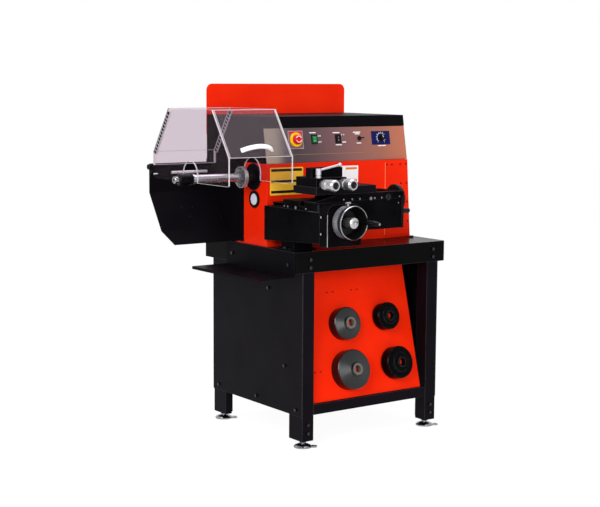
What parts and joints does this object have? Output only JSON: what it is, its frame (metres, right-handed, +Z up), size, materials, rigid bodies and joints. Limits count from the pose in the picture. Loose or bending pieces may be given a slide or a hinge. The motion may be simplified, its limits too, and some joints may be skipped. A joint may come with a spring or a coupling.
{
  "type": "brake lathe",
  "caption": "Bench lathe for brake discs and drums: red headstock with spindle and clear shield, cross slide with twin cutter, on a black stand with a rack of centring cones.",
  "frame": {"origin": "on the floor under the middle of the whole machine's box", "axes": "+X to the operator's right, against the way the arbor points; +Y from the operator to the back of the machine; +Z up"},
  "size_m": [1.142, 1.035, 1.455],
  "materials": {
    "black_paint": "satin black powder coat",
    "red_paint": "gloss red powder coat",
    "dark_cast": "black enamel on cast iron",
    "grey_cast": "machined cast iron",
    "zinc": "bright zinc plate",
    "bright_steel": "polished steel",
    "steel": "turned steel",
    "board": "brown printed panel",
    "black_plastic": "moulded plastic",
    "red_plastic": "red moulded plastic",
    "green_plastic": "green translucent plastic",
    "clear_sheet": "clear acrylic sheet",
    "lamp_glass": "ribbed lamp lens",
    "white_plastic": "white moulded plastic",
    "belt_rubber": "belt rubber",
    "pulley_aluminium": "turned aluminium",
    "cup_black": "gloss black oxide"
  },
  "bodies": {
    "stand": {"table_top": "black_paint", "legs": "black_paint", "front_rail": "black_paint", "stand_panels": "black_paint", "tool_shelf": "black_paint", "levelling_feet": "zinc", "fasteners": "zinc", "rack_panel": "red_paint", "headstock": "red_paint", "access_panel": "red_paint", "head_cover": "black_paint", "control_board": "board", "switch_bodies": "black_plastic", "sign_board": "red_paint", "spindle_cartridge": "black_paint", "spindle_bearings": "steel", "lamp_bezel": "black_plastic", "lamp_lens": "lamp_glass", "chip_guard": "black_paint", "stop_bar": "steel", "hinge_pins": "black_paint", "drive_belt": "belt_rubber", "drive_motor": "dark_cast", "y_bed": "dark_cast", "bearing_block": "dark_cast"},
    "spindle": {"arbor": "bright_steel", "bell_clamp": "steel", "arbor_spacer": "bright_steel", "spindle_pulley": "pulley_aluminium"},
    "nut_washer": {"nut_washer": "bright_steel"},
    "arbor_nut": {"arbor_nut": "cup_black"},
    "motor_pulley": {"motor_pulley": "pulley_aluminium"},
    "shield": {"shield": "clear_sheet", "shield_handle": "white_plastic"},
    "saddle": {"y_saddle": "dark_cast", "x_bed": "dark_cast", "slide_screws": "zinc"},
    "y_handwheel": {"y_handwheel": "black_plastic", "y_dial": "bright_steel", "y_screw": "steel"},
    "y_grip": {"y_grip": "black_plastic"},
    "x_slide": {"tool_table": "dark_cast", "cutter_body": "dark_cast"},
    "x_handwheel": {"x_handwheel": "black_plastic", "x_screw": "steel"},
    "x_grip": {"x_grip": "black_plastic"},
    "tool_arm_left": {"tool_arm_left": "steel"},
    "tool_arm_right": {"tool_arm_right": "steel"},
    "knob_left": {"knob_left": "bright_steel"},
    "knob_right": {"knob_right": "bright_steel"},
    "clamp_lever": {"clamp_lever": "bright_steel"},
    "stop_button": {"stop_button": "red_plastic"},
    "power_rocker": {"power_rocker": "green_plastic"},
    "feed_rocker": {"feed_rocker": "black_plastic"},
    "toggle_lever": {"toggle_lever": "bright_steel"},
    "speed_knob": {"speed_knob": "black_plastic"},
    "cone_small": {"cone_small": "grey_cast"},
    "cone_large": {"cone_large": "grey_cast"},
    "cup_small": {"cup_small": "cup_black"},
    "cup_large": {"cup_large": "cup_black"}
  },
  "joints": [
    {"name": "spindle_spin", "type": "hinge", "parent": "stand", "child": "spindle", "pos_m": [-0.193, 0.1515, 1.08], "axis": [1, 0, 0], "continuous": true},
    {"name": "washer_slide", "type": "slide", "parent": "spindle", "child": "nut_washer", "axis": [-1, 0, 0], "range_m": [0, 0.012]},
    {"name": "nut_turn", "type": "hinge", "parent": "nut_washer", "child": "arbor_nut", "pos_m": [-0.516, 0.1515, 1.08], "axis": [-1, 0, 0], "range_deg": [0, 1728]},
    {"name": "motor_spin", "type": "hinge", "parent": "stand", "child": "motor_pulley", "pos_m": [0.054, 0.2685, 0.905], "axis": [1, 0, 0], "continuous": true},
    {"name": "shield_swing", "type": "hinge", "parent": "stand", "child": "shield", "pos_m": [-0.346, 0.4545, 1.113], "axis": [-1, 0, 0], "range_deg": [0, 70]},
    {"name": "cross_travel", "type": "slide", "parent": "stand", "child": "saddle", "axis": [0, 1, 0], "range_m": [0, 0.12]},
    {"name": "cross_wheel_turn", "type": "hinge", "parent": "stand", "child": "y_handwheel", "pos_m": [-0.1245, -0.3715, 0.936], "axis": [0, 1, 0], "range_deg": [0, 10800]},
    {"name": "cross_grip_spin", "type": "hinge", "parent": "y_handwheel", "child": "y_grip", "pos_m": [-0.0695, -0.4765, 0.936], "axis": [0, 1, 0], "continuous": true},
    {"name": "feed_travel", "type": "slide", "parent": "saddle", "child": "x_slide", "axis": [1, 0, 0], "range_m": [-0.1, 0.12]},
    {"name": "feed_wheel_turn", "type": "hinge", "parent": "saddle", "child": "x_handwheel", "pos_m": [0.24, -0.2065, 0.997], "axis": [1, 0, 0], "range_deg": [-9000, 10800]},
    {"name": "feed_grip_spin", "type": "hinge", "parent": "x_handwheel", "child": "x_grip", "pos_m": [0.299, -0.2065, 0.944], "axis": [1, 0, 0], "continuous": true},
    {"name": "left_arm_feed", "type": "slide", "parent": "x_slide", "child": "tool_arm_left", "axis": [1, 0, 0], "range_m": [0, 0.004]},
    {"name": "right_arm_feed", "type": "slide", "parent": "x_slide", "child": "tool_arm_right", "axis": [-1, 0, 0], "range_m": [0, 0.004]},
    {"name": "left_knob_turn", "type": "hinge", "parent": "x_slide", "child": "knob_left", "pos_m": [-0.165, -0.2835, 1.075], "axis": [0, 1, 0], "range_deg": [0, 1440]},
    {"name": "right_knob_turn", "type": "hinge", "parent": "x_slide", "child": "knob_right", "pos_m": [-0.079, -0.2835, 1.075], "axis": [0, 1, 0], "range_deg": [0, 1440]},
    {"name": "clamp_lever_turn", "type": "hinge", "parent": "x_slide", "child": "clamp_lever", "pos_m": [-0.178, -0.2735, 1.1], "axis": [0, 0, 1], "range_deg": [-85, 5]},
    {"name": "stop_press", "type": "slide", "parent": "stand", "child": "stop_button", "axis": [0, 0.9841, -0.1776], "range_m": [0, 0.005], "stiffness_N_per_m": 1500, "springref_m": -0.002},
    {"name": "power_rock", "type": "hinge", "parent": "stand", "child": "power_rocker", "pos_m": [0.057, 0.07932, 1.22896], "axis": [1, 0, 0], "range_deg": [-8, 8]},
    {"name": "feed_rock", "type": "hinge", "parent": "stand", "child": "feed_rocker", "pos_m": [0.18, 0.07932, 1.22896], "axis": [1, 0, 0], "range_deg": [-8, 8]},
    {"name": "toggle_flip", "type": "hinge", "parent": "stand", "child": "toggle_lever", "pos_m": [0.292, 0.07342, 1.23002], "axis": [0, 0.1776, 0.9841], "range_deg": [-36, 0]},
    {"name": "speed_turn", "type": "hinge", "parent": "stand", "child": "speed_knob", "pos_m": [0.41, 0.07637, 1.22949], "axis": [0, -0.9841, 0.1776], "range_deg": [-135, 135]},
    {"name": "cone_small_lift_off", "type": "slide", "parent": "stand", "child": "cone_small", "axis": [0, -0.9673, 0.2538], "range_m": [0, 0.12]},
    {"name": "cone_large_lift_off", "type": "slide", "parent": "stand", "child": "cone_large", "axis": [0, -0.9673, 0.2538], "range_m": [0, 0.12]},
    {"name": "cup_small_lift_off", "type": "slide", "parent": "stand", "child": "cup_small", "axis": [0, -0.9673, 0.2538], "range_m": [0, 0.12]},
    {"name": "cup_large_lift_off", "type": "slide", "parent": "stand", "child": "cup_large", "axis": [0, -0.9673, 0.2538], "range_m": [0, 0.12]}
  ],
  "couplings": [
    {"joint": "nut_turn", "follows": "washer_slide", "rad_per_m": 2513.3},
    {"joint": "motor_spin", "follows": "spindle_spin", "ratio": 3},
    {"joint": "cross_wheel_turn", "follows": "cross_travel", "rad_per_m": 1570.8},
    {"joint": "feed_wheel_turn", "follows": "feed_travel", "rad_per_m": 1570.8},
    {"joint": "left_knob_turn", "follows": "left_arm_feed", "rad_per_m": 6283.2},
    {"joint": "right_knob_turn", "follows": "right_arm_feed", "rad_per_m": 6283.2}
  ]
}
